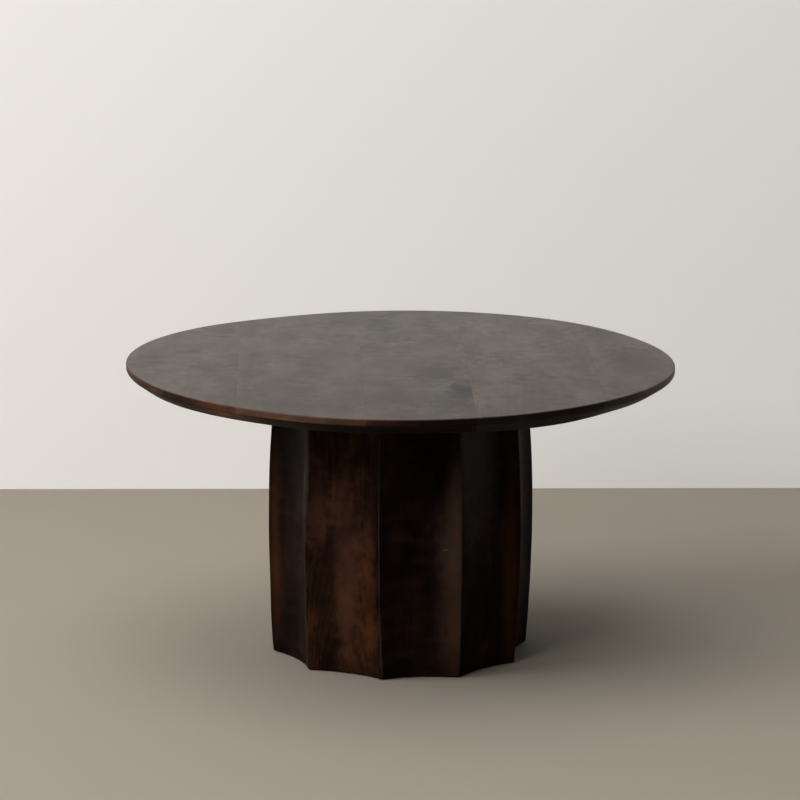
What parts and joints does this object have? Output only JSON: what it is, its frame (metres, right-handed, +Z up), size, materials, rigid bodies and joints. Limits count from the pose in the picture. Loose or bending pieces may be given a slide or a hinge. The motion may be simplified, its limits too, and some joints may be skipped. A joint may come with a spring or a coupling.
{
  "type": "round coffee table",
  "caption": "Round coffee table: an irregular hand-shaped top of edge-glued boards on a barrel-shaped drum of hollowed staves.",
  "frame": {"origin": "on the floor, under the middle of the extents of the top", "axes": "+Z up; the boards of the top run front to back along Y; -Y is the side seen in the picture"},
  "size_m": [0.8005, 0.7997, 0.43],
  "materials": {
    "top_wood": "very dark brown stain, satin lacquer",
    "drum_wood": "very dark brown stain, satin lacquer",
    "raw_wood": "planed, no finish",
    "inner_wood": "sanded, no finish",
    "plated_steel": "zinc plated",
    "insert_brass": "turned",
    "glide_plastic": "matte"
  },
  "bodies": {
    "root": {"top_board_1": "top_wood", "top_board_2": "top_wood", "top_board_3": "top_wood", "top_board_4": "top_wood", "top_board_5": "top_wood", "board_tongue_1": "raw_wood", "board_tongue_2": "raw_wood", "board_tongue_3": "raw_wood", "board_tongue_4": "raw_wood", "stave_01": "drum_wood", "stave_02": "drum_wood", "stave_03": "drum_wood", "stave_04": "drum_wood", "stave_05": "drum_wood", "stave_06": "drum_wood", "stave_07": "drum_wood", "stave_08": "drum_wood", "stave_09": "drum_wood", "stave_10": "drum_wood", "stave_spline_01": "raw_wood", "stave_spline_02": "raw_wood", "stave_spline_03": "raw_wood", "stave_spline_04": "raw_wood", "stave_spline_05": "raw_wood", "stave_spline_06": "raw_wood", "stave_spline_07": "raw_wood", "stave_spline_08": "raw_wood", "stave_spline_09": "raw_wood", "stave_spline_10": "raw_wood", "head_plate": "inner_wood", "foot_ring": "inner_wood", "plate_screws": "plated_steel", "ring_screws": "plated_steel", "top_bolts": "plated_steel", "top_washers": "plated_steel", "thread_inserts": "insert_brass", "glide_pads": "glide_plastic", "glide_nails": "plated_steel"}
  },
  "joints": []
}
